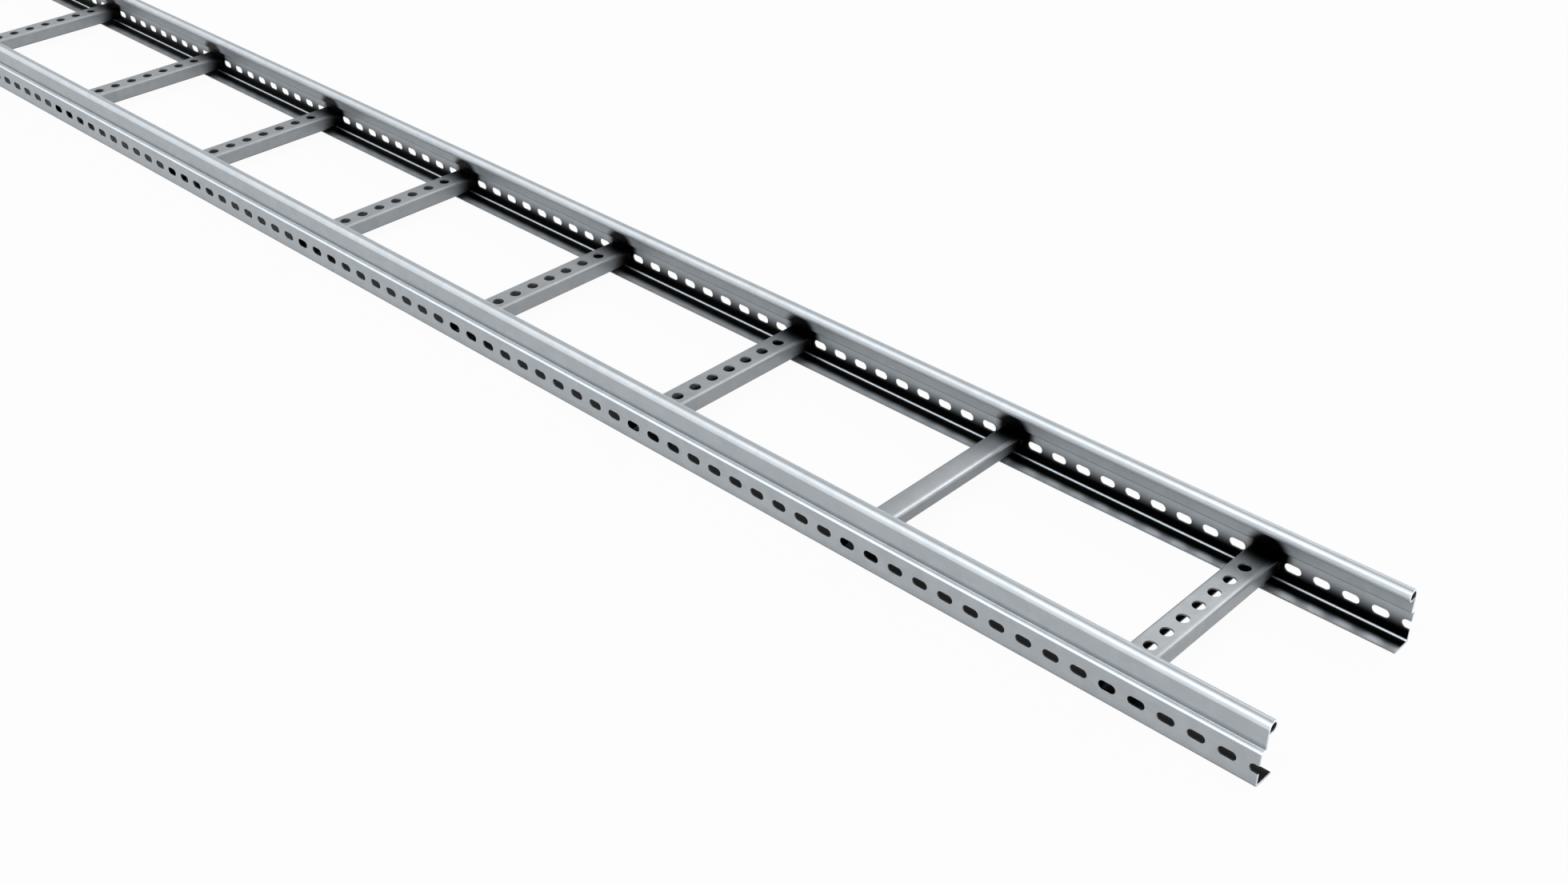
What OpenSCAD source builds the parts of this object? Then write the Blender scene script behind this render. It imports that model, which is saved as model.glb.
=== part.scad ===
// Cable ladder section: two roll-formed side rails joined by perforated channel rungs.
// X runs along the ladder, Y across it and Z up. The origin is the middle of the underside.

/* [Ladder] */
// Clear width between the upper webs of the two side rails
clear_width = 205; // [155:10:605]
// Spacing of the rungs from middle to middle
rung_pitch = 250; // [200:25:300]
// Thickness of the sheet that the side rails are rolled from
rail_sheet = 1.5; // [1.2:0.1:2]

/* [Side rail] */
// Height of a side rail from the underside of its foot to the top of its rolled edge
rail_height = 55; // [50:1:100]
// Height of the slotted lower band
band_height = 31.5; // [26:0.5:36]
// How far the slotted band stands out from the upper web
band_step = 4.5; // [4.5:0.5:12]
// Width of the foot, the flange turned inward at the bottom
foot_width = 20; // [14:1:30]
// Outer radius of the bends in the side rail
rail_bend = 2.1; // [2.1:0.1:2.8]
// Outer diameter of the top edge, rolled inboard from the outer face of the upper web
bead_diameter = 10.8; // [8:0.1:12]
// Width of the gap that the end of the rolled edge leaves beside the web
bead_gap = 1.2; // [0.8:0.1:1.8]

/* [Rail slots] */
// Spacing of the slots from middle to middle
slot_pitch = 25; // [20:1:50]
// Length of a slot from end to end
slot_length = 15; // [12:0.5:18]
// Width of a slot
slot_width = 8; // [6:0.5:10]
// Height of the row of slots above the underside
slot_height = 16; // [14:0.5:18]

/* [Rungs] */
// Width of a perforated rung
rung_width = 27; // [24:1:40]
// Height of a rung's channel
rung_height = 15.5; // [12:0.5:16]
// Height of the tops of all rungs above the underside of the ladder
rung_top = 22.5; // [20:0.5:24]
// Thickness of the sheet that the rungs are rolled from
rung_sheet = 1.5; // [1:0.1:2]
// Width of the lips turned inward along the open underside of a rung
rung_lip = 5.5; // [3.5:0.5:6.5]
// Outer radius of the bends in a rung
rung_bend = 2.3; // [2.1:0.1:3]
// Width of the plain rung, the second from each end
plain_width = 22; // [18:1:40]
// Height of the plain rung's channel
plain_height = 13; // [11:0.5:14]

/* [Rung holes] */
// Number of round holes along a perforated rung
hole_count = 8; // [2:1:20]
// Spacing of the holes from middle to middle
hole_pitch = 21.75; // [15:0.25:25]
// Diameter of a hole
hole_diameter = 11; // [6:0.5:13]

/* [Hidden] */
NODES = ["side_rail_left", "side_rail_right", "rung_01", "rung_02", "rung_03", "rung_04",
    "rung_05", "rung_06", "rung_07", "rung_08", "rung_09", "rung_10", "rung_11", "rung_12"];
RAILS = 2;
rung_count = len(NODES) - RAILS;
ladder_length = rung_count * rung_pitch;
// Distance between the outer faces of the slotted bands
ladder_width = clear_width + 2 * (band_step + rail_sheet);
// Rungs butt against the inner faces of the slotted bands
rung_length = ladder_width - 2 * rail_sheet;
slot_gaps = floor(ladder_length / slot_pitch);
bead_radius = bead_diameter / 2;
bead_y = band_step + bead_radius;
bead_z = rail_height - bead_radius;
rail_inner_bend = rail_bend - rail_sheet;
overcut = 1;
$fn = 48;

// A quarter of a ring that joins two straight walls; corner 0 to 3 counts round from +X
module bend(outer, sheet, corner) {
    rotate(90 * corner) intersection() {
        difference() {
            circle(r = outer);
            circle(r = outer - sheet);
        }
        square(outer);
    }
}

// The section of a side rail: X is the distance inboard of the band's outer face, Y is height
module rail_section() {
    // foot
    translate([rail_bend, 0]) square([foot_width - rail_bend, rail_sheet]);
    translate([rail_bend, rail_bend]) bend(rail_bend, rail_sheet, 2);
    // slotted band
    translate([0, rail_bend]) square([rail_sheet, band_height - 2 * rail_bend]);
    translate([rail_bend, band_height - rail_bend]) bend(rail_bend, rail_sheet, 1);
    // ledge between the band and the upper web
    translate([rail_bend, band_height - rail_sheet])
        square([band_step + rail_sheet - 2 * rail_bend, rail_sheet]);
    translate([band_step - rail_inner_bend, band_height + rail_inner_bend])
        bend(rail_bend, rail_sheet, 3);
    // upper web
    translate([band_step, band_height + rail_inner_bend])
        square([rail_sheet, bead_z - band_height - rail_inner_bend]);
    translate([bead_y, bead_z]) rolled_edge();
}

// The rolled top edge, curled inboard until its end nearly meets the web again
module rolled_edge() {
    difference() {
        circle(r = bead_radius);
        circle(r = bead_radius - rail_sheet);
        translate([-bead_radius - overcut, -bead_radius - overcut])
            square([overcut + rail_sheet + bead_gap, bead_radius + overcut]);
    }
}

// A row of slots along X; each lies along the row
module slot_row() {
    for (i = [0 : slot_gaps])
        translate([(i - slot_gaps / 2) * slot_pitch, 0]) oblong(slot_length, slot_width);
}

// An oblong with round ends, its long axis along X
module oblong(length, width) {
    square([length - width, width], center = true);
    for (side = [-1, 1]) translate([side * (length - width) / 2, 0]) circle(d = width);
}

// A side rail whose slotted band faces -Y
module side_rail() {
    difference() {
        translate([-ladder_length / 2, -ladder_width / 2, 0])
            rotate([90, 0, 90]) linear_extrude(ladder_length) rail_section();
        translate([0, -ladder_width / 2 + rail_sheet + overcut, slot_height])
            rotate([90, 0, 0]) linear_extrude(rail_sheet + 2 * overcut) slot_row();
    }
}

module side_rail_right() {
    color("silver") side_rail();
}

module side_rail_left() {
    color("silver") mirror([0, 1, 0]) side_rail();
}

// Half of a rung's channel section, on the side of +X, open at the bottom
module half_channel(width, height) {
    half = width / 2;
    translate([0, height - rung_sheet]) square([half - rung_bend, rung_sheet]);
    translate([half - rung_bend, height - rung_bend]) bend(rung_bend, rung_sheet, 0);
    translate([half - rung_sheet, rung_bend]) square([rung_sheet, height - 2 * rung_bend]);
    translate([half - rung_bend, rung_bend]) bend(rung_bend, rung_sheet, 3);
    translate([half - rung_lip, 0]) square([rung_lip - rung_bend, rung_sheet]);
}

// A channel that lies across the ladder, from one slotted band to the other
module channel(width, height) {
    translate([0, rung_length / 2, rung_top - height])
        rotate([90, 0, 0]) linear_extrude(rung_length) {
            half_channel(width, height);
            mirror([1, 0]) half_channel(width, height);
        }
}

// The row of round holes through the top of a perforated rung
module hole_row() {
    for (i = [0 : hole_count - 1])
        translate([0, (i - (hole_count - 1) / 2) * hole_pitch]) circle(d = hole_diameter);
}

module perforated_rung() {
    difference() {
        channel(rung_width, rung_height);
        translate([0, 0, rung_top - rung_sheet - overcut])
            linear_extrude(rung_sheet + 2 * overcut) hole_row();
    }
}

// The rung with the given place in the row, counted from 0 at the -X end
module rung(place) {
    plain = place == 1 || place == rung_count - 2;
    color("lightgray") translate([(place - (rung_count - 1) / 2) * rung_pitch, 0, 0])
        if (plain) channel(plain_width, plain_height);
        else perforated_rung();
}

side_rail_left();
side_rail_right();
for (place = [0 : rung_count - 1]) rung(place);
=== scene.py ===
"""Looks of a cable ladder section: galvanised steel, rung welds, studio floor, lamps and camera."""

import logging
import math
from dataclasses import dataclass
from enum import Enum
from typing import TypeAlias

import bpy
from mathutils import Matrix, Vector

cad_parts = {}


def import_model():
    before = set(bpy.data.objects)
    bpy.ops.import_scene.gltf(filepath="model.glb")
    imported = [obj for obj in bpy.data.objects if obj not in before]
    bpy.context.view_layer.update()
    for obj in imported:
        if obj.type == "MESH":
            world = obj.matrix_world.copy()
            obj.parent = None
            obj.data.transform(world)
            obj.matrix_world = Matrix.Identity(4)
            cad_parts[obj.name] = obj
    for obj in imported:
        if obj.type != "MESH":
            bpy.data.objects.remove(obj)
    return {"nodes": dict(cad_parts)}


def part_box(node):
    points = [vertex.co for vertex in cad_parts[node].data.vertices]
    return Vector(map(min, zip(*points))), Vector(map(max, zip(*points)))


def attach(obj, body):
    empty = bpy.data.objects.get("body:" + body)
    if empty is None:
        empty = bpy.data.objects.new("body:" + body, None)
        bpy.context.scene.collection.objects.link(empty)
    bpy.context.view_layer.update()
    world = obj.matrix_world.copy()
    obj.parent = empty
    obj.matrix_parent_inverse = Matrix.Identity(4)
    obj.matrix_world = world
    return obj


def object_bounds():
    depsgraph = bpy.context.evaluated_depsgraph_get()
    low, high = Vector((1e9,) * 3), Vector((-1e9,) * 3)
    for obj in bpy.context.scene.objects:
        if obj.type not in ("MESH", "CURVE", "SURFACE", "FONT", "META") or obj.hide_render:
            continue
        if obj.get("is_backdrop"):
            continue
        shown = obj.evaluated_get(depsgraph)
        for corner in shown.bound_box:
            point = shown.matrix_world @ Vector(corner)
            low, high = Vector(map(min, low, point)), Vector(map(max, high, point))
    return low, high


LOG = logging.getLogger("cable_ladder")
BODY = "root"
MM = 0.001

Socket: TypeAlias = bpy.types.NodeSocket
Operand: TypeAlias = "Socket | float"
Limits: TypeAlias = tuple[float, float]
Colour: TypeAlias = tuple[float, float, float]


class Side(Enum):
    """The two side rails, by the names of their nodes."""

    RIGHT = "side_rail_right"
    LEFT = "side_rail_left"


class Slot(Enum):
    """The record's material slots."""

    RAIL = "galvanised_rail"
    RUNG = "galvanised_rung"


class NodeGraph:
    """A node tree with short calls for adding and joining nodes."""

    def __init__(self, tree: bpy.types.NodeTree) -> None:
        """Wraps a node tree.

        Args:
            tree: The tree that nodes are added to.
        """
        self.tree = tree

    def add(self, kind: str, **settings: object) -> bpy.types.Node:
        """Adds a node.

        Args:
            kind: The node's type name.
            settings: Attributes of the node to set.

        Returns:
            The new node.
        """
        node = self.tree.nodes.new(kind)
        for name, value in settings.items():
            setattr(node, name, value)
        return node

    def join(self, source: Socket, target: Socket) -> None:
        """Links an output socket to an input socket."""
        self.tree.links.new(source, target)

    def feed(self, operand: Operand, target: Socket) -> None:
        """Gives an input a linked socket or a fixed number.

        Args:
            operand: The output socket to link, or the number to set.
            target: The input that takes it.
        """
        if isinstance(operand, Socket):
            self.join(operand, target)
        else:
            target.default_value = operand

    def math(self, operation: str, first: Operand, second: Operand = 0.0) -> Socket:
        """Adds a Math node.

        Args:
            operation: The Math node's operation.
            first: The first operand.
            second: The second operand.

        Returns:
            The node's output socket.
        """
        node = self.add("ShaderNodeMath", operation=operation)
        for operand, target in zip((first, second), node.inputs):
            self.feed(operand, target)
        return node.outputs[0]

    def product(self, first: Operand, *others: Operand) -> Socket:
        """Multiplies two or more operands.

        Args:
            first: The first factor.
            others: The other factors.

        Returns:
            The product.
        """
        result = first
        for factor in others:
            result = self.math("MULTIPLY", result, factor)
        return result

    def length(self, first: Socket, second: Socket) -> Socket:
        """Gives the length of a pair of distances at right angles.

        Args:
            first: One distance.
            second: The other distance.

        Returns:
            The length.
        """
        squares = self.math("ADD", self.product(first, first), self.product(second, second))
        return self.math("SQRT", squares)

    def remap(self, value: Socket, source: tuple[Operand, Operand], target: tuple[Operand, Operand],
              smooth: bool = False) -> Socket:
        """Adds a Map Range node, which holds its result between the two values given.

        Args:
            value: The socket to remap.
            source: The two values read.
            target: The values given for them.
            smooth: Whether the change between them is a smooth step.

        Returns:
            The node's output socket.
        """
        kind = "SMOOTHSTEP" if smooth else "LINEAR"
        node = self.add("ShaderNodeMapRange", interpolation_type=kind)
        self.join(value, node.inputs["Value"])
        names = ("From Min", "From Max", "To Min", "To Max")
        for name, limit in zip(names, (*source, *target)):
            self.feed(limit, node.inputs[name])
        return node.outputs["Result"]

    def laid(self, mask: Socket, tone: Operand) -> Socket:
        """Gives the tone of a mark or painted shade that lies only where its mask says.

        Args:
            mask: Where the mark lies, from 0 to 1.
            tone: The mark's own tone.

        Returns:
            The tone, 1 where the mask is 0.
        """
        change = self.math("SUBTRACT", 1.0, tone)
        return self.math("SUBTRACT", 1.0, self.product(mask, change))

    def place(self) -> bpy.types.bpy_prop_collection:
        """Gives the X, Y and Z outputs of a point's place in the frame.

        Returns:
            The outputs, by name.
        """
        axes = self.add("ShaderNodeSeparateXYZ")
        self.join(self.add("ShaderNodeTexCoord").outputs["Object"], axes.inputs["Vector"])
        return axes.outputs


class EffectGroup:
    """A shader node group with named inputs and outputs, built once and used by several materials."""

    def __init__(self, name: str, inputs: dict[str, float], outputs: tuple[str, ...]) -> None:
        """Makes the group's tree and its sockets.

        Args:
            name: The group's name.
            inputs: Each input's name and usual value.
            outputs: Each output's name.
        """
        self.tree = bpy.data.node_groups.new(name, "ShaderNodeTree")
        for label, value in inputs.items():
            socket = self.tree.interface.new_socket(label, in_out="INPUT", socket_type="NodeSocketFloat")
            socket.default_value = value
        for label in outputs:
            self.tree.interface.new_socket(label, in_out="OUTPUT", socket_type="NodeSocketFloat")
        self.graph = NodeGraph(self.tree)
        self.source = self.graph.add("NodeGroupInput").outputs
        self.result = self.graph.add("NodeGroupOutput").inputs

    def place(self, graph: NodeGraph, **values: float) -> bpy.types.bpy_prop_collection:
        """Places the group in a material.

        Args:
            graph: The material's node graph.
            values: A value for each input, its name in lower case with underscores.

        Returns:
            The outputs of the placed group.
        """
        node = graph.add("ShaderNodeGroup", node_tree=self.tree)
        for label, value in values.items():
            node.inputs[label.replace("_", " ").capitalize()].default_value = value
        return node.outputs


class ZincSpangle(EffectGroup):
    """The faint crystals of a zinc coat: cells and wider clouds that differ a little in tone."""

    BLUR = 0.35
    CLOUD_DETAIL = 3.0
    CLOUD_SCALE = 0.3
    SPREAD = (0.4, 1.6)

    def __init__(self) -> None:
        """Builds the group."""
        super().__init__("zinc_spangle", {"Cell size": 0.009, "Contrast": 0.1}, ("Tone",))
        place = self.graph.add("ShaderNodeTexCoord").outputs["Object"]
        scale = self.graph.math("DIVIDE", 1.0, self.source["Cell size"])
        cells = self.graph.add("ShaderNodeTexVoronoi", feature="SMOOTH_F1")
        cells.inputs["Smoothness"].default_value = self.BLUR
        clouds = self.graph.add("ShaderNodeTexNoise")
        clouds.inputs["Detail"].default_value = self.CLOUD_DETAIL
        for texture, share in ((cells, 1.0), (clouds, self.CLOUD_SCALE)):
            self.graph.join(place, texture.inputs["Vector"])
            self.graph.join(self.graph.product(scale, share), texture.inputs["Scale"])
        split = self.graph.add("ShaderNodeSeparateColor")
        self.graph.join(cells.outputs["Color"], split.inputs["Color"])
        mixed = self.graph.math("ADD", split.outputs["Red"], clouds.outputs["Fac"])
        half = self.graph.product(self.source["Contrast"], 0.5)
        low = self.graph.math("SUBTRACT", 1.0, half)
        high = self.graph.math("ADD", 1.0, half)
        self.graph.join(self.graph.remap(mixed, self.SPREAD, (low, high)), self.result["Tone"])


class RollGrain(EffectGroup):
    """The fine lines that rolling leaves along a sheet, with the sheet's slow waves."""

    STRETCH = 0.02
    LINE_DETAIL = 2.0
    WAVE_DETAIL = 1.0
    WAVE_SCALE = 14.0

    def __init__(self) -> None:
        """Builds the group."""
        super().__init__("roll_grain", {"Line width": 0.0008, "Along y": 0.0}, ("Line", "Wave"))
        axes = self.graph.place()
        turn = self.source["Along y"]
        stay = self.graph.math("SUBTRACT", 1.0, turn)
        squeeze = (1.0, self.STRETCH)
        lined = self.graph.add("ShaderNodeCombineXYZ")
        for axis, share in (("X", stay), ("Y", turn)):
            squeezed = self.graph.product(axes[axis], self.graph.remap(share, (0.0, 1.0), squeeze))
            self.graph.join(squeezed, lined.inputs[axis])
        self.graph.join(axes["Z"], lined.inputs["Z"])
        lines = self.graph.add("ShaderNodeTexNoise")
        lines.inputs["Detail"].default_value = self.LINE_DETAIL
        self.graph.join(lined.outputs[0], lines.inputs["Vector"])
        scale = self.graph.math("DIVIDE", 1.0, self.source["Line width"])
        self.graph.join(scale, lines.inputs["Scale"])
        waves = self.graph.add("ShaderNodeTexNoise")
        waves.inputs["Scale"].default_value = self.WAVE_SCALE
        waves.inputs["Detail"].default_value = self.WAVE_DETAIL
        place = self.graph.add("ShaderNodeTexCoord").outputs["Object"]
        self.graph.join(place, waves.inputs["Vector"])
        self.graph.join(lines.outputs["Fac"], self.result["Line"])
        self.graph.join(waves.outputs["Fac"], self.result["Wave"])


class RecessShade(EffectGroup):
    """Painted shade where the sheets close round a point, from 1 in the open to Darkest inside."""

    RAYS = 12

    def __init__(self) -> None:
        """Builds the group."""
        inputs = {"Reach": 0.03, "Closed": 0.3, "Open": 0.6, "Darkest": 0.1}
        super().__init__("recess_shade", inputs, ("Tone",))
        # Painted shade: ambient occlusion darkens the colour in recesses.
        shade = self.graph.add("ShaderNodeAmbientOcclusion", samples=self.RAYS)
        self.graph.join(self.source["Reach"], shade.inputs["Distance"])
        tone = self.graph.remap(shade.outputs["AO"], (self.source["Closed"], self.source["Open"]),
                                (self.source["Darkest"], 1.0), smooth=True)
        self.graph.join(tone, self.result["Tone"])


@dataclass(frozen=True)
class Effects:
    """The effect groups that every steel of the ladder shares.

    Attributes:
        spangle: The zinc crystals' group.
        grain: The rolled grain's group.
        shade: The recess group.
    """

    spangle: ZincSpangle
    grain: RollGrain
    shade: RecessShade


@dataclass(frozen=True)
class RungRow:
    """The even row of rungs along the ladder.

    Attributes:
        half_length: Half the length of the ladder.
        pitch: Spacing of the rungs.
    """

    half_length: float
    pitch: float

    def from_rung(self, graph: NodeGraph, along: Socket, shift: float = 0.0) -> Socket:
        """Gives how far a point lies along the ladder from the nearest rung's middle.

        Args:
            graph: The material's node graph.
            along: Distance along the ladder from its middle.
            shift: How far every middle is moved along the ladder.

        Returns:
            The distance, below 0 on the side of -X.
        """
        bays = graph.math("DIVIDE", graph.math("ADD", along, self.half_length - shift), self.pitch)
        return graph.product(graph.math("SUBTRACT", graph.math("FRACT", bays), 0.5), self.pitch)


@dataclass(frozen=True)
class RailSpot:
    """Where a point of a side rail lies.

    Attributes:
        along: Distance along the ladder from its middle.
        inboard: Distance from the slotted band's outer face.
        level: Height.
        inside: 1 on the sheet's inner side and the rolled edge, 0 on its outer side and sawn ends.
        outside: 1 as far inboard as the upper web's outer face, 0 from its inner face on.
    """

    along: Socket
    inboard: Socket
    level: Socket
    inside: Socket
    outside: Socket


@dataclass(frozen=True)
class RailSection:
    """The side rails' section, which places the painted shade, painted highlights and bright ends on
    them.

    Attributes:
        half_width: Half the distance over the two rails.
        half_length: Half the length of the rails.
        foot: Width of the foot.
        band: Height of the slotted band.
        web: Distance of the upper web's inner face from the band's outer face.
        sheet: Thickness of the sheet.
        bend: Outer radius of the bends.
        inner_depth: Depths below the outer face between which the inner side starts.
        outer_gap: Distances from the upper web's inner face between which the outer side ends.
        end_gap: Length at each sawn end that isn't inner side.
    """

    half_width: float
    half_length: float
    foot: float
    band: float = 31.5 * MM
    web: float = 6.0 * MM
    sheet: float = 1.5 * MM
    bend: float = 2.1 * MM
    inner_depth: Limits = (0.06 * MM, 0.525 * MM)
    outer_gap: Limits = (0.9 * MM, 0.5 * MM)
    end_gap: float = 0.2 * MM

    def spot(self, graph: NodeGraph) -> RailSpot:
        """Finds where a point of a rail lies.

        Args:
            graph: The material's node graph.

        Returns:
            The place as sockets.
        """
        place = graph.place()
        along, level = place["X"], place["Z"]
        inboard = graph.math("SUBTRACT", self.half_width, graph.math("ABSOLUTE", place["Y"]))
        near, far = (self.web - gap for gap in self.outer_gap)
        return RailSpot(along, inboard, level, inside=self.inside(graph, along, inboard, level),
                        outside=graph.remap(inboard, (near, far), (1.0, 0.0)))

    def inside(self, graph: NodeGraph, along: Socket, inboard: Socket, level: Socket) -> Socket:
        """Gives the mask of the sheet's inner side, round the bends too, and of the rolled edge.

        Args:
            graph: The material's node graph.
            along: Distance along the ladder from its middle.
            inboard: Distance from the band's outer face.
            level: Height.

        Returns:
            1 on the inner side and the rolled edge, 0 on the outer side and the sawn ends.
        """
        beside = graph.math("MAXIMUM", graph.math("SUBTRACT", self.bend, inboard), 0.0)
        below = graph.math("MAXIMUM", graph.math("SUBTRACT", self.bend, level), 0.0)
        above = graph.math("SUBTRACT", level, self.band - self.bend)
        from_centre = graph.length(beside, graph.math("MAXIMUM", below, above))
        in_band = graph.math("SUBTRACT", self.bend, from_centre)
        behind_web = graph.math("SUBTRACT", inboard, self.web - self.sheet)
        over_ledge = graph.math("SUBTRACT", level, self.band - self.sheet)
        depth = graph.math("MAXIMUM", in_band, graph.math("MINIMUM", behind_web, over_ledge))
        covered = graph.remap(depth, self.inner_depth, (0.0, 1.0), smooth=True)
        before_end = graph.math("LESS_THAN", graph.math("ABSOLUTE", along),
                                self.half_length - self.end_gap)
        return graph.product(covered, before_end)


@dataclass(frozen=True)
class ChannelShade:
    """Painted shade in a rail's lower channel, with a painted highlight along the inner corner.

    Attributes:
        section: The rails' section.
        tone: Tone of the full painted shade.
        fade: Heights between which the painted shade fades out.
        foot_tone: Tone that the painted shade gives way to on the foot's free part: still dark on the
            right rail, painted light on the left.
        foot_fade: Distances from the band's outer face between which it gives way to that tone on the
            foot.
        corner_highlight_tone: Tone of the painted highlight along the inner corner between the band and
            the foot.
        corner_highlight_fade: Distances from that corner between which the painted highlight fades out.
        edge_gap: Distances from the foot's free edge between which the painted shade ends.
    """

    section: RailSection
    tone: float = 0.002
    fade: Limits = (9.5 * MM, 28.0 * MM)
    foot_tone: float = 0.02
    foot_fade: Limits = (15.0 * MM, 21.0 * MM)
    corner_highlight_tone: float = 2.2
    corner_highlight_fade: Limits = (0.75 * MM, 1.65 * MM)
    edge_gap: Limits = (0.4 * MM, 0.1 * MM)

    @classmethod
    def of_rail(cls, side: Side, section: RailSection) -> "ChannelShade":
        """Gives the painted shade of one side rail, which on the left rail gives way to painted light on
        the foot.

        Args:
            side: The side rail.
            section: The rails' section.

        Returns:
            The painted shade.
        """
        # The left rail's foot gets painted light, where the right rail's keeps painted shade.
        if side is Side.LEFT:
            return cls(section, tone=0.004, foot_tone=1.3, foot_fade=(9.5 * MM, 17.5 * MM))
        return cls(section)

    def mark(self, graph: NodeGraph, spot: RailSpot) -> Socket:
        """Gives the tone of the painted shade and the painted corner highlight.

        Args:
            graph: The material's node graph.
            spot: Where the point lies.

        Returns:
            The tone, 1 where nothing is painted.
        """
        # Painted shade fading up the channel, a painted highlight along the inner corner, and a painted
        # tone on the foot.
        faded = graph.remap(spot.level, self.fade, (self.tone, 1.0), smooth=True)
        from_corner = graph.length(graph.math("SUBTRACT", spot.inboard, self.section.sheet),
                                   graph.math("SUBTRACT", spot.level, self.section.sheet))
        corner_highlight = graph.remap(from_corner, self.corner_highlight_fade, (self.corner_highlight_tone, 0.0), smooth=True)
        foot_shading = graph.remap(spot.inboard, self.foot_fade, (self.tone, self.foot_tone), smooth=True)
        channel_shade = graph.math("MAXIMUM", faded, graph.math("MAXIMUM", corner_highlight, foot_shading))
        start, end = (self.section.foot - gap for gap in self.edge_gap)
        before_edge = graph.remap(spot.inboard, (start, end), (1.0, 0.0))
        return graph.laid(graph.product(before_edge, spot.inside), channel_shade)


@dataclass(frozen=True)
class RungEndShade:
    """Painted shade on a rail's inner side above each rung end.

    Attributes:
        row: The row of rungs.
        shift: Middle of a patch of painted shade along the rail, from the rung's middle.
        level: Height of a patch's middle.
        reach: How far a patch reaches from its middle, along the rail and up.
        fade: Shares of that reach between which it fades out.
        tone: Tone of the full painted shade.
    """

    row: RungRow
    shift: float = 3.5 * MM
    level: float = 24.0 * MM
    reach: tuple[float, float] = (21.0 * MM, 21.5 * MM)
    fade: Limits = (0.68, 1.1)
    tone: float = 0.002

    def mark(self, graph: NodeGraph, spot: RailSpot) -> Socket:
        """Gives the tone of the painted shade.

        Args:
            graph: The material's node graph.
            spot: Where the point lies.

        Returns:
            The tone, 1 where there is no painted shade.
        """
        # Painted shade: a soft dark patch above each rung end, on the rail's inner side.
        reach_along, reach_up = self.reach
        across = graph.math("DIVIDE", self.row.from_rung(graph, spot.along, self.shift), reach_along)
        up = graph.math("DIVIDE", graph.math("SUBTRACT", spot.level, self.level), reach_up)
        tone = graph.remap(graph.length(across, up), self.fade, (self.tone, 1.0), smooth=True)
        return graph.laid(spot.inside, tone)


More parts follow.
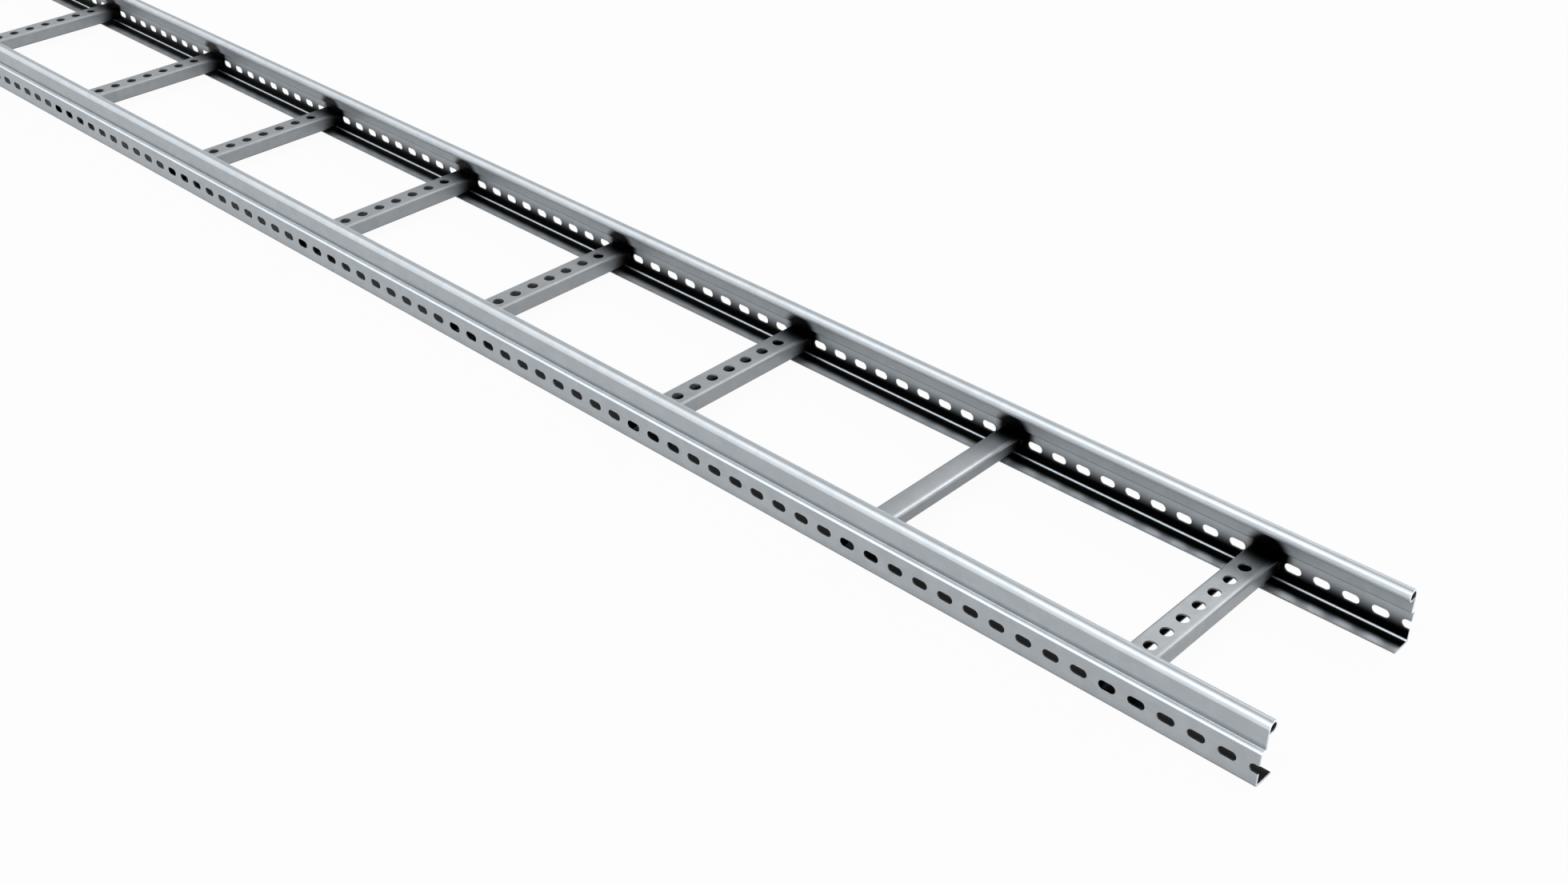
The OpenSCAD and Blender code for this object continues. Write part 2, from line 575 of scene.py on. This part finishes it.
@dataclass(frozen=True)
class RailHighlightsAndShade:
    """Painted highlights and painted shade along a rail's shoulder, upper web and rolled edge.

    Attributes:
        section: The rails' section.
        inner_shade_tone: Tone of the painted shade on the upper web's inner face.
        inner_gap: Distances from that face between which its tone starts, outside it.
        inner_top: Heights between which that tone ends, under the rolled edge.
        ledge_highlight_tone: Tone of the painted highlight on the shoulder between the band and the
            upper web.
        ledge_rise: Heights between which the shoulder starts.
        ledge_fall: Heights between which the shoulder ends and the web starts.
        root_shade_tone: Tone of the painted shade at the upper web's root.
        root_fade: Heights between which the root's painted shade fades out.
        edge_highlight_tone: Tone of the painted highlight on the rolled edge.
        edge_rise: Heights between which the rolled edge starts.
        crest_shade_tone: Tone of the rolled edge's crest, where the painted highlight drops back, as a
            share of the edge's.
        crest_rise: Heights between which the crest starts.
    """

    section: RailSection
    inner_shade_tone: float = 0.78
    inner_gap: Limits = (0.6 * MM, 0.2 * MM)
    inner_top: Limits = (43.5 * MM, 44.5 * MM)
    ledge_highlight_tone: float = 2.2
    ledge_rise: Limits = (29.6 * MM, 30.6 * MM)
    ledge_fall: Limits = (31.6 * MM, 31.8 * MM)
    root_shade_tone: float = 0.58
    root_fade: Limits = (33.0 * MM, 37.0 * MM)
    edge_highlight_tone: float = 1.7
    edge_rise: Limits = (49.2 * MM, 50.2 * MM)
    crest_shade_tone: float = 0.54
    crest_rise: Limits = (54.0 * MM, 54.8 * MM)

    def mark(self, graph: NodeGraph, spot: RailSpot) -> Socket:
        """Gives the tone of all the painted highlights and painted shade.

        Args:
            graph: The material's node graph.
            spot: Where the point lies.

        Returns:
            The tone, 1 where nothing is painted.
        """
        return graph.product(self.inner_web(graph, spot), self.root(graph, spot),
                             self.ledge(graph, spot), self.top_edge(graph, spot))

    def inner_web(self, graph: NodeGraph, spot: RailSpot) -> Socket:
        """Gives the tone of the painted shade on the upper web's inner face.

        Args:
            graph: The material's node graph.
            spot: Where the point lies.

        Returns:
            The tone, 1 elsewhere.
        """
        # Painted shade on the upper web's inner face.
        start, end = (self.section.web - gap for gap in self.inner_gap)
        behind = graph.remap(spot.inboard, (start, end), (0.0, 1.0))
        below_edge = graph.remap(spot.level, self.inner_top, (1.0, 0.0))
        return graph.laid(graph.product(behind, below_edge), self.inner_shade_tone)

    def root(self, graph: NodeGraph, spot: RailSpot) -> Socket:
        """Gives the tone of the painted shade at the root of the upper web's outer side.

        Args:
            graph: The material's node graph.
            spot: Where the point lies.

        Returns:
            The tone, 1 elsewhere.
        """
        # Painted shade at the web's root, just above the shoulder.
        over_ledge = graph.remap(spot.level, self.ledge_fall, (0.0, 1.0))
        faded = graph.remap(spot.level, self.root_fade, (1.0, 0.0), smooth=True)
        return graph.laid(graph.product(over_ledge, faded, spot.outside), self.root_shade_tone)

    def ledge(self, graph: NodeGraph, spot: RailSpot) -> Socket:
        """Gives the tone of the painted highlight on the shoulder between the band and the upper web.

        Args:
            graph: The material's node graph.
            spot: Where the point lies.

        Returns:
            The tone, 1 elsewhere.
        """
        # Painted highlight on the shoulder.
        rise = graph.remap(spot.level, self.ledge_rise, (0.0, 1.0), smooth=True)
        fall = graph.remap(spot.level, self.ledge_fall, (1.0, 0.0))
        return graph.laid(graph.product(rise, fall, spot.outside), self.ledge_highlight_tone)

    def top_edge(self, graph: NodeGraph, spot: RailSpot) -> Socket:
        """Gives the tone of the painted highlight on the rolled edge and the painted shade on its crest.

        Args:
            graph: The material's node graph.
            spot: Where the point lies.

        Returns:
            The tone, 1 elsewhere.
        """
        # Painted highlight on the rolled edge, dropping back to painted shade on its crest.
        edge = graph.remap(spot.level, self.edge_rise, (1.0, self.edge_highlight_tone), smooth=True)
        crest = graph.remap(spot.level, self.crest_rise, (1.0, self.crest_shade_tone), smooth=True)
        return graph.product(edge, crest)


@dataclass(frozen=True)
class SawnEnd:
    """The bright sawn ends of a rail.

    Attributes:
        half_length: Half the length of the rails.
        tone: Tone of the ends.
        gap: Distances from an end between which its tone starts.
    """

    half_length: float
    tone: float = 2.2
    gap: Limits = (0.3 * MM, 0.1 * MM)

    def mark(self, graph: NodeGraph, spot: RailSpot) -> Socket:
        """Gives the tone of the ends.

        Args:
            graph: The material's node graph.
            spot: Where the point lies.

        Returns:
            The tone, 1 elsewhere.
        """
        start, end = (self.half_length - gap for gap in self.gap)
        return graph.remap(graph.math("ABSOLUTE", spot.along), (start, end), (1.0, self.tone))


@dataclass(frozen=True, kw_only=True)
class GalvanisedSteel:
    """The finish of a pre-galvanised sheet.

    Attributes:
        slot: The record's slot that it dresses.
        tone: The zinc's colour.
        cell: Size of the coat's crystals.
        contrast: How far the crystals differ in tone.
        along_y: 1 where the sheet was rolled along Y, 0 along X.
        line_tone: Tones of the grain's darkest and brightest lines.
        roughness: Lowest and highest roughness of the coat.
        metallic: How far the dull coat still mirrors as bare metal does, where no painted shade darkens
            it.
        darkest: Tone of the painted shade deep in a recess, as a share of the open tone.
        bump: Strength of the coat's relief.
        relief: Height of the coat's relief.
    """

    slot: Slot
    tone: Colour
    cell: float
    contrast: float
    along_y: float
    line_tone: Limits = (0.97, 1.03)
    roughness: Limits = (0.38, 0.46)
    metallic: float = 0.42
    darkest: float = 0.15
    bump: float = 0.25
    relief: float = 0.05 * MM

    # The stretch of a noise texture's values that most of a surface has
    NOISE = (0.3, 0.7)

    def shading_and_marks(self, graph: NodeGraph) -> Socket:
        """Gives the tone of the painted shade, painted highlights and other tones on the sheet, 1 where
        there are none.
        """
        raise NotImplementedError

    def build(self, effects: Effects) -> bpy.types.Material:
        """Builds the material.

        Args:
            effects: The shared effect groups.

        Returns:
            The finished material.
        """
        material = bpy.data.materials.new(self.slot.value)
        material.use_nodes = True
        graph = NodeGraph(material.node_tree)
        shader = material.node_tree.nodes["Principled BSDF"]
        crystals = effects.spangle.place(graph, cell_size=self.cell, contrast=self.contrast)
        lines = effects.grain.place(graph, along_y=self.along_y)
        recess = effects.shade.place(graph, darkest=self.darkest)
        # Painted recess shade times the painted shading and highlights scales the colour and sets how
        # far it mirrors.
        shading_and_marks = graph.product(recess["Tone"], self.shading_and_marks(graph))
        graph.join(graph.remap(shading_and_marks, (0.0, 1.0), (1.0, self.metallic)), shader.inputs["Metallic"])
        lined = graph.remap(lines["Line"], self.NOISE, self.line_tone)
        colour = graph.add("ShaderNodeVectorMath", operation="SCALE")
        colour.inputs[0].default_value = self.tone
        graph.join(graph.product(crystals["Tone"], lined, shading_and_marks), colour.inputs["Scale"])
        graph.join(colour.outputs[0], shader.inputs["Base Color"])
        dull = graph.remap(lines["Wave"], self.NOISE, self.roughness)
        graph.join(dull, shader.inputs["Roughness"])
        bump = graph.add("ShaderNodeBump")
        bump.inputs["Strength"].default_value = self.bump
        bump.inputs["Distance"].default_value = self.relief
        height = graph.math("ADD", lines["Line"], crystals["Tone"])
        graph.join(height, bump.inputs["Height"])
        graph.join(bump.outputs[0], shader.inputs["Normal"])
        return material


@dataclass(frozen=True, kw_only=True)
class RailSteel(GalvanisedSteel):
    """A side rail's finish.

    Attributes:
        section: The rails' section.
        channel_shade: The painted shade in the lower channel.
        end_shade: The painted shade above the rung ends.
    """

    section: RailSection
    channel_shade: ChannelShade
    end_shade: RungEndShade
    slot: Slot = Slot.RAIL
    tone: Colour = (0.388, 0.419, 0.445)
    cell: float = 9.0 * MM
    contrast: float = 0.10
    along_y: float = 0.0

    def shading_and_marks(self, graph: NodeGraph) -> Socket:
        """Gives the tone of the rail's painted shade, painted highlights and bright sawn ends.

        Args:
            graph: The material's node graph.

        Returns:
            The tone, 1 where the rail keeps its own tone.
        """
        spot = self.section.spot(graph)
        kinds = (self.channel_shade, self.end_shade, RailHighlightsAndShade(self.section), SawnEnd(self.section.half_length))
        return graph.product(*(kind.mark(graph, spot) for kind in kinds))


@dataclass(frozen=True, kw_only=True)
class RungSteel(GalvanisedSteel):
    """A rung's finish: a painted highlight along one bend, painted shading on the side walls, painted
    shade towards the rails.

    Attributes:
        row: The row of rungs.
        half: Half the width of the rung.
        top: Height of the rung's top.
        lean: How far the painted shading falls at the -X edge of the top and rises at the +X edge.
        bend_tone: Tone of the painted highlight on the bend on the side of +X.
        bend_gap: Distances from the +X side between which that highlight starts.
        wall_tone: Tone of the painted shading on the side wall on the side of +X. The other wall's is
            that over bend_tone.
        wall_drop: Distances below the top between which the walls' tone starts.
        end_shade_tone: Tone of the full painted shade at the rung's ends.
        end_shade_fade: Distances from the ladder's middle line between which the painted shade starts.
    """

    row: RungRow
    half: float
    top: float
    lean: float = 0.0
    bend_tone: float = 1.42
    bend_gap: Limits = (5.0 * MM, 2.0 * MM)
    wall_tone: float = 1.3
    wall_drop: Limits = (2.6 * MM, 1.4 * MM)
    end_shade_tone: float = 0.02
    end_shade_fade: Limits = (77.0 * MM, 101.0 * MM)
    slot: Slot = Slot.RUNG
    tone: Colour = (0.288, 0.306, 0.322)
    cell: float = 8.0 * MM
    contrast: float = 0.12
    along_y: float = 1.0

    def shading_and_marks(self, graph: NodeGraph) -> Socket:
        """Gives the tone of the rung's painted highlight, painted shading and painted shade.

        Args:
            graph: The material's node graph.

        Returns:
            The tone, 1 where nothing is painted.
        """
        place = graph.place()
        across = self.row.from_rung(graph, place["X"])
        # Painted shading across the top, lighter towards +X.
        leaning = graph.remap(across, (-self.half, self.half), (1.0 - self.lean, 1.0 + self.lean))
        start, end = (self.half - gap for gap in self.bend_gap)
        # Painted highlight along the +X bend.
        bend = graph.remap(across, (start, end), (1.0, self.bend_tone), smooth=True)
        low, high = (self.top - drop for drop in self.wall_drop)
        # Painted shading on the side walls.
        wall = graph.remap(place["Z"], (low, high), (self.wall_tone / self.bend_tone, 1.0), smooth=True)
        # Painted shade on the last stretch of each end, next to the rails.
        beside = graph.math("ABSOLUTE", place["Y"])
        end_shade = graph.remap(beside, self.end_shade_fade, (1.0, self.end_shade_tone), smooth=True)
        return graph.product(leaning, bend, wall, end_shade)


@dataclass
class Ladder:
    """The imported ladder: its nodes, and the sizes that the other classes place things by.

    Attributes:
        nodes: The CAD nodes' objects by name.
        low: Lowest corner of the ladder.
        high: Highest corner of the ladder.
    """

    nodes: dict[str, bpy.types.Object]
    low: Vector
    high: Vector

    def rungs(self) -> list[str]:
        """Gives the rungs' node names in order along the ladder."""
        return sorted(name for name in self.nodes if name.startswith("rung_"))

    def plain_rungs(self) -> list[str]:
        """Gives the node names of the plain rungs, the second from each end."""
        return [self.rungs()[1], self.rungs()[-2]]

    def perforated_rungs(self) -> list[str]:
        """Gives the node names of the rungs that have holes."""
        return [name for name in self.rungs() if name not in self.plain_rungs()]

    def row(self) -> RungRow:
        """Gives the row of rungs, which fills the ladder's length."""
        return RungRow(self.high.x, (self.high.x - self.low.x) / len(self.rungs()))

    def section(self) -> RailSection:
        """Gives the side rails' section."""
        low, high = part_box(Side.RIGHT.value)
        return RailSection(self.high.y, self.high.x, foot=high.y - low.y)

    def rail_steel(self, side: Side) -> RailSteel:
        """Gives a side rail's finish.

        Args:
            side: The side rail.

        Returns:
            The finish.
        """
        section = self.section()
        return RailSteel(section=section, channel_shade=ChannelShade.of_rail(side, section),
                         end_shade=RungEndShade(self.row()))

    def rung_steel(self, rung: str, **tones: float) -> RungSteel:
        """Gives a rung's finish.

        Args:
            rung: The node name of a rung of that width.
            tones: Tones that differ from the perforated rungs'.

        Returns:
            The finish.
        """
        low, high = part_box(rung)
        return RungSteel(row=self.row(), half=(high.x - low.x) / 2, top=high.z, **tones)

    def dress(self, names: list[str], material: bpy.types.Material) -> None:
        """Gives nodes a material.

        Args:
            names: The nodes' names.
            material: The material that takes every slot.
        """
        for name in names:
            mesh = self.nodes[name].data
            mesh.materials.clear()
            mesh.materials.append(material)
            LOG.info("dressed %s with %s", name, material.name)


@dataclass
class RungWeld:
    """The short welds that hold a rung's side walls to the slotted bands of the side rails.

    Attributes:
        radius: Half the width of a weld.
        inset: Distance of a weld's middle from the rung's end.
        ripples: Number of ripples along a weld.
        ripple: How far a ripple stands out, as a share of the radius.
        tip: Width of a weld's two ends, as a share of its width.
        end_gap: How far a weld stops short of the rung's top and underside.
        faces: Number of sides round a weld.
    """

    radius: float = 1.7 * MM
    inset: float = 0.8 * MM
    ripples: int = 6
    ripple: float = 0.16
    tip: float = 0.55
    end_gap: float = 3.2 * MM
    faces: int = 12

    def steps(self) -> int:
        """Gives the number of stretches between the rings along a weld."""
        return 2 * self.ripples

    def bead(self, name: str, place: Vector, height: float) -> bpy.types.Object:
        """Models one upright weld, closed at both ends.

        Args:
            name: The new object's name.
            place: The weld's middle.
            height: The weld's length.

        Returns:
            The weld as an object whose place is in its mesh.
        """
        bpy.ops.object.select_all(action="DESELECT")
        bpy.ops.mesh.primitive_cylinder_add(vertices=self.faces, radius=self.radius, depth=height,
                                            location=place)
        weld = bpy.context.object
        weld.name = name
        bpy.ops.object.mode_set(mode="EDIT")
        for step in range(1, self.steps()):
            bpy.ops.mesh.select_all(action="SELECT")
            level = place.z + height * (step / self.steps() - 0.5)
            bpy.ops.mesh.bisect(plane_co=(place.x, place.y, level), plane_no=(0, 0, 1))
        bpy.ops.object.mode_set(mode="OBJECT")
        self.shape(weld, height)
        bpy.ops.object.transform_apply(location=True, rotation=True, scale=True)
        rounding = weld.modifiers.new("rounding", "SUBSURF")
        rounding.levels = rounding.render_levels = 1
        bpy.ops.object.modifier_apply(modifier=rounding.name)
        bpy.ops.object.shade_smooth()
        return weld

    def shape(self, weld: bpy.types.Object, height: float) -> None:
        """Swells every other ring into a ripple and draws the two ends in.

        Args:
            weld: The weld, still upright round its own middle.
            height: The weld's length.
        """
        for vertex in weld.data.vertices:
            step = round((vertex.co.z / height + 0.5) * self.steps())
            swell = 1 + self.ripple if step % 2 else 1.0
            if step in (0, self.steps()):
                swell = self.tip
            vertex.co.x *= swell
            vertex.co.y *= swell

    def join_rung(self, rung: str) -> bpy.types.Object:
        """Models the four welds of one rung as one object.

        Args:
            rung: The rung's node name.

        Returns:
            The rung's welds.
        """
        low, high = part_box(rung)
        height = high.z - low.z - 2 * self.end_gap
        beads = []
        for end in (low.y + self.inset, high.y - self.inset):
            for wall in (low.x, high.x):
                place = Vector((wall, end, (low.z + high.z) / 2))
                beads.append(self.bead(f"{rung}_welds", place, height))
        bpy.ops.object.select_all(action="DESELECT")
        for bead in beads:
            bead.select_set(True)
        bpy.context.view_layer.objects.active = beads[0]
        bpy.ops.object.join()
        welds = beads[0]
        welds.name = f"{rung}_welds"
        return welds

    def build(self, ladder: Ladder, material: bpy.types.Material) -> None:
        """Models and dresses every rung's welds.

        Args:
            ladder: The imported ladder.
            material: The welds' material.
        """
        for rung in ladder.rungs():
            welds = self.join_rung(rung)
            welds.data.materials.append(material)
            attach(welds, BODY)
            LOG.info("built %s", welds.name)


@dataclass(frozen=True)
class Lamp:
    """A broad distant lamp.

    Attributes:
        name: The lamp's name.
        strength: How strongly it lights a surface that faces it.
        shines_from: Direction that it shines from.
        spread: Its apparent width, in degrees.
    """

    name: str
    strength: float
    shines_from: tuple[float, float, float]
    spread: float

    def hang(self) -> None:
        """Adds the lamp to the scene."""
        lamp = bpy.data.lights.new(self.name, "SUN")
        lamp.energy = self.strength
        lamp.angle = math.radians(self.spread)
        holder = bpy.data.objects.new(self.name, lamp)
        holder.rotation_euler = Vector(self.shines_from).to_track_quat("Z", "Y").to_euler()
        bpy.context.scene.collection.objects.link(holder)
        LOG.info("hung the %s", self.name)


@dataclass
class Studio:
    """The pale floor, the lamps and the world.

    Attributes:
        floor_size: Side of the square floor.
        floor_tone: Brightness of the floor's paint.
        floor_roughness: Roughness of the floor's paint.
        shadow: How much of the object's shadow the camera sees on the white floor.
        sky: Strength of the even light from all round.
        lamps: The lamps.
    """

    floor_size: float = 120.0
    floor_tone: float = 0.6
    floor_roughness: float = 0.9
    shadow: float = 0.045
    sky: float = 0.66
    lamps: tuple[Lamp, ...] = (
        Lamp("key_lamp", 0.9, (-0.25, -0.70, 0.67), 40.0),
        Lamp("back_lamp", 0.95, (-0.10, 0.80, 0.60), 36.0),
    )

    def build(self, level: float) -> None:
        """Lays the floor and lights the scene.

        Args:
            level: Height of the floor.
        """
        self.floor(level)
        self.world()
        for lamp in self.lamps:
            lamp.hang()

    def floor(self, level: float) -> None:
        """Lays the floor.

        Args:
            level: Height of the floor.
        """
        bpy.ops.object.select_all(action="DESELECT")
        bpy.ops.mesh.primitive_plane_add(size=self.floor_size, location=(0, 0, level))
        plane = bpy.context.object
        plane.name = "studio_floor"
        plane.data.materials.append(self.floor_paint())
        plane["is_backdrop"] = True
        LOG.info("laid the floor at %.4f", level)

    def floor_paint(self) -> bpy.types.Material:
        """Builds the floor's paint, which looks white and keeps a soft shadow.

        Returns:
            The material.
        """
        material = bpy.data.materials.new("floor_paint")
        material.use_nodes = True
        graph = NodeGraph(material.node_tree)
        paint = material.node_tree.nodes["Principled BSDF"]
        paint.inputs["Base Color"].default_value = (self.floor_tone,) * 3 + (1.0,)
        paint.inputs["Roughness"].default_value = self.floor_roughness
        glow = graph.add("ShaderNodeEmission")
        blend = graph.add("ShaderNodeMixShader")
        graph.join(graph.product(self.seen(graph), 1.0 - self.shadow), blend.inputs[0])
        graph.join(paint.outputs[0], blend.inputs[1])
        graph.join(glow.outputs[0], blend.inputs[2])
        graph.join(blend.outputs[0], material.node_tree.nodes["Material Output"].inputs["Surface"])
        return material

    def seen(self, graph: NodeGraph) -> Socket:
        """Gives 1 for what is seen straight on, mirrored or through a clear piece, and 0 for light.

        Args:
            graph: The node graph of the floor's paint or the world.

        Returns:
            The mask.
        """
        rays = graph.add("ShaderNodeLightPath").outputs
        seen = graph.math("MAXIMUM", rays["Is Camera Ray"], rays["Is Glossy Ray"])
        return graph.math("MAXIMUM", seen, rays["Is Transmission Ray"])

    def world(self) -> None:
        """Lights the scene evenly from all round, and shows white where the world is seen."""
        world = bpy.data.worlds.new("studio")
        bpy.context.scene.world = world
        world.use_nodes = True
        back = world.node_tree.nodes["Background"]
        back.inputs["Color"].default_value = (1.0, 1.0, 1.0, 1.0)
        graph = NodeGraph(world.node_tree)
        graph.join(graph.remap(self.seen(graph), (0.0, 1.0), (self.sky, 1.0)), back.inputs["Strength"])
        LOG.info("lit the world")


@dataclass
class Viewpoint:
    """The camera, placed from the ladder's lowest and highest corners.

    Attributes:
        beyond_end: How far it stands beyond the ladder's +X end.
        beside: How far it stands outside the right side rail.
        height: How high it stands above the ladder's underside.
        azimuth: Turn of its view from +Y, in degrees.
        elevation: How far it looks down, in degrees.
        lens: Focal length in millimetres on the usual sensor.
        shift: Sideways shift of the picture, as a share of its width.
    """

    beyond_end: float = 0.3991
    beside: float = 0.9058
    height: float = 0.9015
    azimuth: float = 43.713
    elevation: float = 33.50
    lens: float = 42.57
    shift: float = 0.01285

    def build(self, ladder: Ladder) -> None:
        """Makes the camera and hands it to the scene.

        Args:
            ladder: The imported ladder.
        """
        camera = bpy.data.cameras.new("camera")
        camera.lens = self.lens
        camera.shift_x = self.shift
        holder = bpy.data.objects.new("camera", camera)
        holder.location = (ladder.high.x + self.beyond_end, ladder.low.y - self.beside,
                           ladder.low.z + self.height)
        holder.rotation_euler = (math.radians(90 - self.elevation), 0, math.radians(self.azimuth))
        bpy.context.scene.collection.objects.link(holder)
        bpy.context.scene.camera = holder
        bpy.context.scene.view_settings.view_transform = "Standard"
        LOG.info("placed the camera")


def main() -> None:
    """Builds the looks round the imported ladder."""
    logging.basicConfig(level=logging.INFO, format="%(name)s: %(message)s")
    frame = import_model()
    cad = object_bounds()
    ladder = Ladder(frame["nodes"], *cad)
    Viewpoint().build(ladder)
    effects = Effects(ZincSpangle(), RollGrain(), RecessShade())
    for side in Side:
        ladder.dress([side.value], ladder.rail_steel(side).build(effects))
    perforated, plain = ladder.perforated_rungs(), ladder.plain_rungs()
    rung_steel = ladder.rung_steel(perforated[0]).build(effects)
    # Plain rungs: stronger painted shading across the top, a brighter painted highlight, and darker
    # painted shading on the walls.
    plain_steel = ladder.rung_steel(plain[0], lean=0.2, bend_tone=1.7, wall_tone=0.85).build(effects)
    ladder.dress(perforated, rung_steel)
    ladder.dress(plain, plain_steel)
    RungWeld().build(ladder, rung_steel)
    Studio().build(ladder.low.z)


if __name__ == "__main__":
    main()
